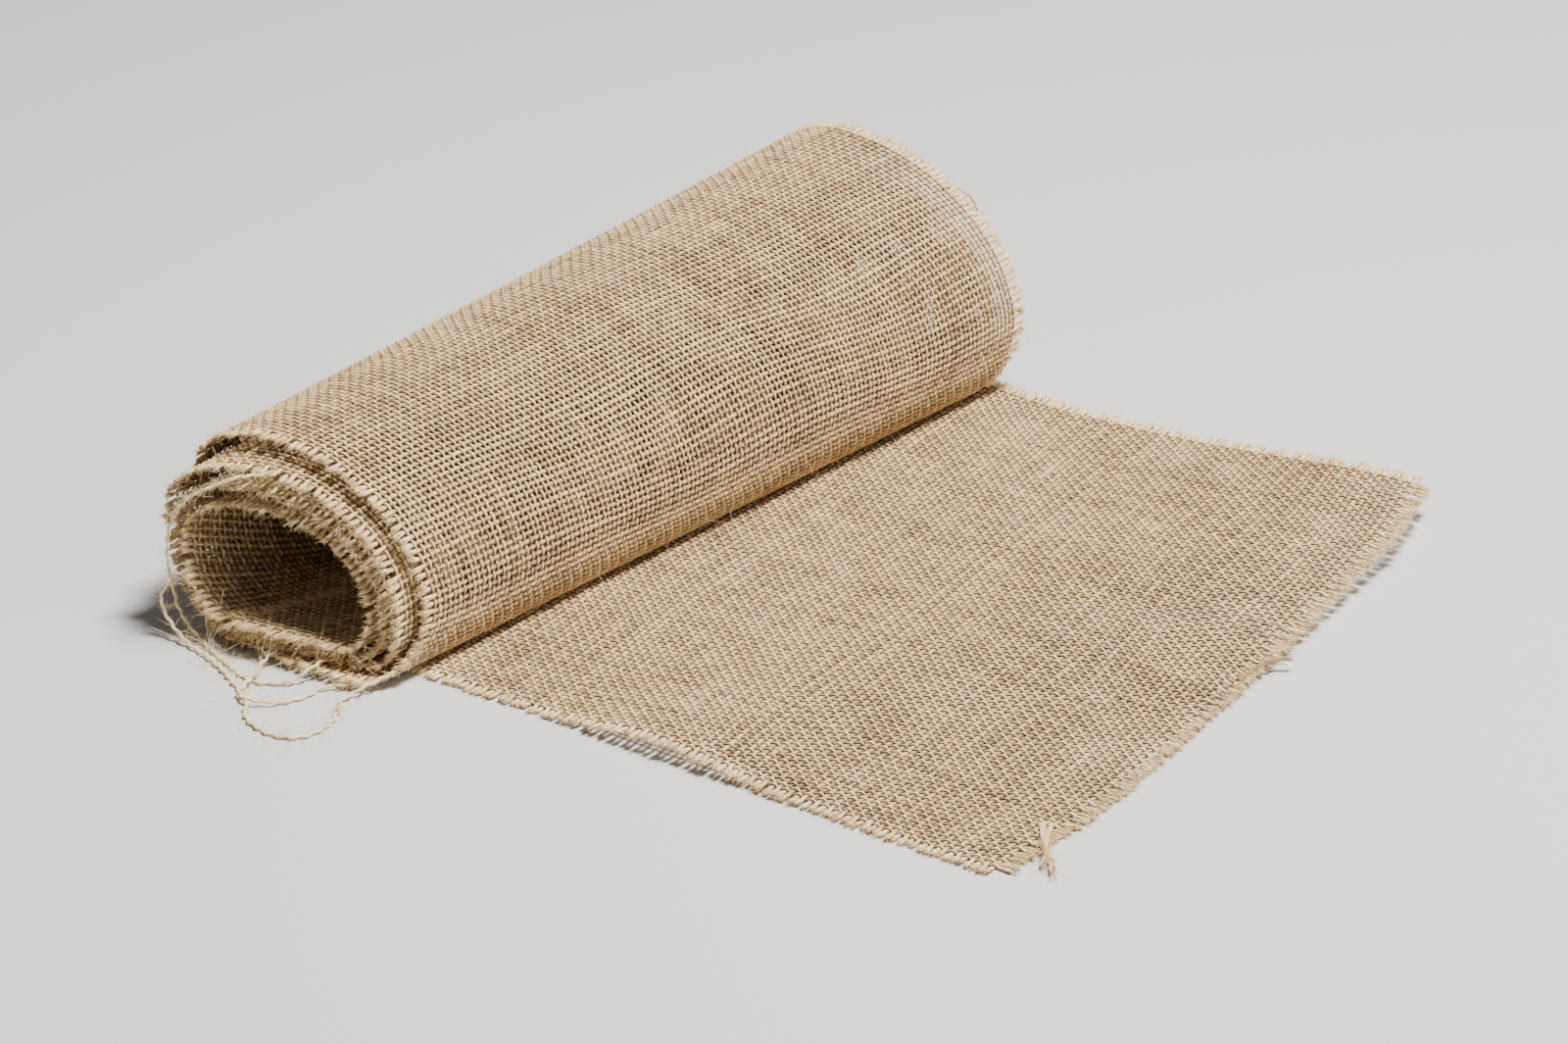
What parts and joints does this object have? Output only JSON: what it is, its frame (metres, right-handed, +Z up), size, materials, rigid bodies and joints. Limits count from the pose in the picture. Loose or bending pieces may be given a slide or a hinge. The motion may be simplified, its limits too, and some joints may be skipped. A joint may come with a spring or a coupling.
{
  "type": "ribbon roll",
  "caption": "Loosely wound coreless roll of open-weave jute ribbon lying on its side, with its free end rolled out flat and loose threads at one end.",
  "frame": {"origin": "on the resting surface, under the middle of the roll, halfway across the ribbon", "axes": "+X towards the free end, +Y along the roll's axis towards its looser end, +Z up"},
  "size_m": [0.3201, 0.3641, 0.0817],
  "materials": {
    "jute_cloth": "natural undyed plain weave, matte and slightly hairy",
    "jute_thread": "pale twisted yarn with loose fibres, matte"
  },
  "bodies": {
    "tail_base": {"tail_base_panel": "jute_cloth"},
    "tail_end": {"tail_end_panel": "jute_cloth"},
    "rising_1": {"rising_panel_1": "jute_cloth"},
    "rising_2": {"rising_panel_2": "jute_cloth"},
    "rising_3": {"rising_panel_3": "jute_cloth"},
    "roll": {"outer_turn": "jute_cloth", "second_turn": "jute_cloth", "third_turn": "jute_cloth", "fourth_turn": "jute_cloth", "loose_thread_long": "jute_thread", "loose_thread_looped": "jute_thread", "loose_thread_short": "jute_thread"}
  },
  "joints": [
    {"name": "tail_fold", "type": "hinge", "parent": "tail_base", "child": "tail_end", "pos_m": [0.076, 0, 0.0015], "axis": [0, -1, 0], "range_deg": [0, 80]},
    {"name": "unroll_1", "type": "hinge", "parent": "tail_base", "child": "rising_1", "pos_m": [-0.01761, 0, 0], "axis": [0, -1, 0], "range_deg": [0, 17]},
    {"name": "unroll_2", "type": "hinge", "parent": "rising_1", "child": "rising_2", "pos_m": [-0.02851, 0, 0.00316], "axis": [0, -1, 0], "range_deg": [0, 32]},
    {"name": "unroll_3", "type": "hinge", "parent": "rising_2", "child": "rising_3", "pos_m": [-0.04259, 0, 0.01819], "axis": [0, -1, 0], "range_deg": [0, 31]},
    {"name": "unroll", "type": "hinge", "parent": "rising_3", "child": "roll", "pos_m": [-0.04763, 0, 0.03862], "axis": [0, -1, 0], "range_deg": [0, 13.8]}
  ],
  "couplings": [
    {"joint": "unroll_1", "follows": "unroll", "ratio": 1.169},
    {"joint": "unroll_2", "follows": "unroll", "ratio": 2.228},
    {"joint": "unroll_3", "follows": "unroll", "ratio": 2.122}
  ]
}
